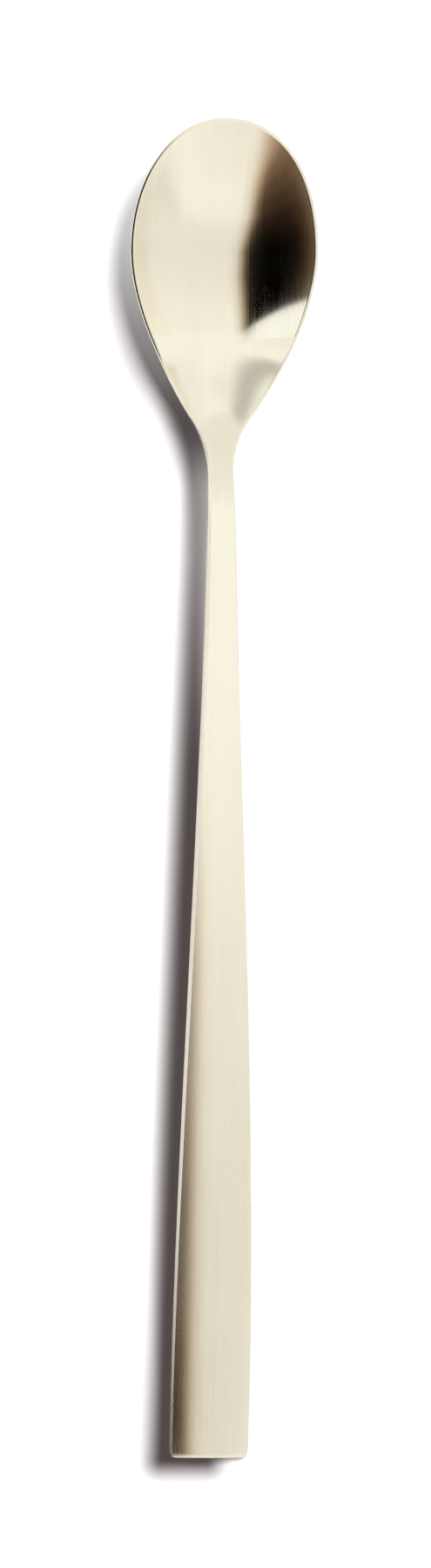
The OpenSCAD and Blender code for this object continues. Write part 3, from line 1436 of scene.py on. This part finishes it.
@dataclass
class Studio:
    """White room that the spoon mirrors: a bright tent with a dark opening on the left."""

    tint: Colour = (2.0, 1.96, 1.86)
    levels: tuple = (
        (-1.0, 0.41),
        (-0.9, 0.505),
        (-0.75, 0.535),
        (-0.6, 0.53),
        (-0.3, 0.47),
        (0.0, 0.46),
        (0.3, 0.52),
        (0.44, 0.57),
        (0.6, 0.51),
        (1.0, 0.48),
    )
    window: Spot = Spot((-0.58, 0.56), (0.36, 0.065), 0.55)
    corner: Spot = Spot((0.84, -0.55), (0.13, 0.16), 0.17)
    tail: Spot = Spot((-0.45, 0.345), (0.11, 0.04), 0.5)
    glint: Spot = Spot((-0.85, 0.37), (0.22, 0.06))
    glint_tone: Colour = (1.1, 1.12, 1.12)
    fringe: tuple = (
        (-0.36, BLACK),
        (-0.29, (0.09, 0.045, 0.022)),
        (-0.22, (0.48, 0.38, 0.28)),
        (-0.13, (0.86, 0.83, 0.79)),
        (0.02, WHITE),
    )
    low: tuple = (
        (0.0, (0.3, 0.22, 0.15)),
        (0.14, (0.13, 0.09, 0.06)),
        (0.2, (0.058, 0.036, 0.02)),
        (0.27, (0.026, 0.014, 0.007)),
        (0.4, BLACK),
    )
    near: tuple = (
        (-1.0, (1.0, 0.95, 0.9)),
        (-0.86, (0.44, 0.33, 0.26)),
        (-0.77, (0.16, 0.1, 0.062)),
        (-0.7, (0.09, 0.055, 0.031)),
        (-0.59, (0.046, 0.026, 0.014)),
        (-0.41, (0.0155, 0.0072, 0.0036)),
        (-0.18, (0.002, 0.001, 0.0)),
        (0.0, BLACK),
    )
    bulge_place: float = 0.1
    bulge_near: float = 0.25
    bulge_far: float = 0.6
    bulge_limit: float = -0.15
    far_edge: tuple = (0.318, 0.337)
    far_pivot: float = -0.6
    far_slant: float = 0.09
    fill: Colour = (0.034, 0.014, 0.022)
    rebound: Colour = (1.08, 1.1, 1.2)

    def tent(self, graph: Graph, x: Field, y: Field) -> Field:
        """The white tent.

        Args:
            graph: The world's graph.
            x: Mirrored direction across the spoon.
            y: Mirrored direction along it.

        Returns:
            Its light.
        """
        light = graph.vector_math("MULTIPLY", graph.ramp(y, self.levels), self.tint)
        dark = self.window.share(x, y) + self.corner.share(x, y) + self.tail.share(x, y)
        light = graph.mix_colour(light, BLACK, dark)
        return graph.mix_colour(light, self.glint_tone, self.glint.share(x, y))

    def outside(self, graph: Graph, x: Field, y: Field) -> Field:
        """How much of the tent shows, by colour: none in the opening, all well outside it.

        Args:
            graph: The world's graph.
            x: Mirrored direction across the spoon.
            y: Mirrored direction along it.

        Returns:
            The share of each colour.
        """
        # The opening's right edge bulges towards its far end and has a brown fringe
        away = y - self.bulge_place
        bulge = graph.math("MINIMUM", away * self.bulge_near, away * -self.bulge_far)
        edge = x - graph.math("MAXIMUM", bulge, self.bulge_limit)
        side = graph.ramp(edge, self.fringe)
        far = graph.smooth(y - (x - self.far_pivot) * self.far_slant, *self.far_edge)
        return graph.mix_colour(side, WHITE, far)

    def pattern(self, graph: Graph) -> Field:
        """Light that the metal mirrors, by direction.

        Args:
            graph: The world's graph.

        Returns:
            The light's colour.
        """
        ahead = graph.call("ShaderNodeTexCoord", {}, "Generated")
        x, y, z = graph.split(graph.vector_math("NORMALIZE", ahead))
        # The opening is black in the middle, and brown towards the floor and the handle
        inner = graph.vector_math("ADD", graph.ramp(z, self.low), graph.ramp(y, self.near))
        inputs = {1: self.outside(graph, x, y), 4: inner, 5: self.tent(graph, x, y)}
        settings = {"data_type": "VECTOR", "factor_mode": "NON_UNIFORM"}
        return graph.call("ShaderNodeMix", inputs, 1, **settings)

    def build(self) -> bpy.types.World:
        """Builds the world: white to the camera, the tent to the metal, a low fill to the floor.

        Returns:
            The world.
        """
        world = bpy.data.worlds.new("Studio")
        graph = fresh_graph(world)
        world.cycles.sampling_method = "NONE"
        rays = graph.rays()
        seen = graph.math("MAXIMUM", rays[Ray.CAMERA], rays[Ray.THROUGH])
        # Rays that come by way of the floor meet the fill, which keeps the shadow deep
        first = 1 - graph.reached(rays[Ray.MATT_TURNS], 1)
        lift = graph.mix_colour(WHITE, self.rebound, graph.reached(rays[Ray.GLOSSY_TURNS], 2))
        shown = graph.vector_math("MULTIPLY", self.pattern(graph), lift)
        light = graph.mix_colour(self.fill, shown, rays[Ray.GLOSSY] * first)
        light = graph.mix_colour(light, WHITE, seen)
        sky = graph.call("ShaderNodeBackground", {"Color": light, "Strength": 1.0})
        graph.feed(graph.node("ShaderNodeOutputWorld").inputs["Surface"], sky)
        bpy.context.scene.world = world
        return world


@dataclass
class PhotoCamera:
    """Long-lens camera over the spoon, tipped a little to its left side."""

    distance: float = 2.0
    frame_height: float = 234.7 * MM
    tip: float = 7.4
    roll: float = 0.0083
    aim_right: float = 0.26 * MM
    aim_up: float = 0.76 * MM
    sensor: float = 36.0
    nearest: float = 0.01
    farthest: float = 100.0

    def build(self) -> bpy.types.Object:
        """Places the camera and makes it the scene's own.

        Returns:
            The camera.
        """
        tip = math.radians(self.tip)
        back = Vector((-math.sin(tip), 0.0, math.cos(tip)))
        level, ahead = Vector((math.cos(tip), 0.0, math.sin(tip))), Vector((0.0, 1.0, 0.0))
        right = (level + ahead * self.roll).normalized()
        up = back.cross(right)
        aim = right * self.aim_right + up * self.aim_up
        lens = bpy.data.cameras.new("PhotoCamera")
        lens.type = "PERSP"
        lens.sensor_width = self.sensor
        lens.lens = self.sensor * self.distance / self.frame_height
        lens.clip_start, lens.clip_end = self.nearest, self.farthest
        camera = place_object("PhotoCamera", lens)
        turn = Matrix((right, up, back)).transposed().to_4x4()
        camera.matrix_world = Matrix.Translation(aim + back * self.distance) @ turn
        bpy.context.scene.camera = camera
        return camera


def main() -> None:
    """Builds the spoon, then the studio round it."""
    logging.basicConfig(level=logging.INFO, format="%(name)s %(message)s")
    neck = Neck()
    for part in (Bowl(neck, BOWL_STEEL), Handle(neck, HANDLE_STEEL)):
        log.info("built %s", part.build().name)
    for fitting in (Floor(), KeyLamp(), HandleCard(), RootCard(), Studio(), PhotoCamera()):
        log.info("set up %s", fitting.build().name)
    bpy.context.scene.view_settings.view_transform = "Standard"


if __name__ == "__main__":
    main()
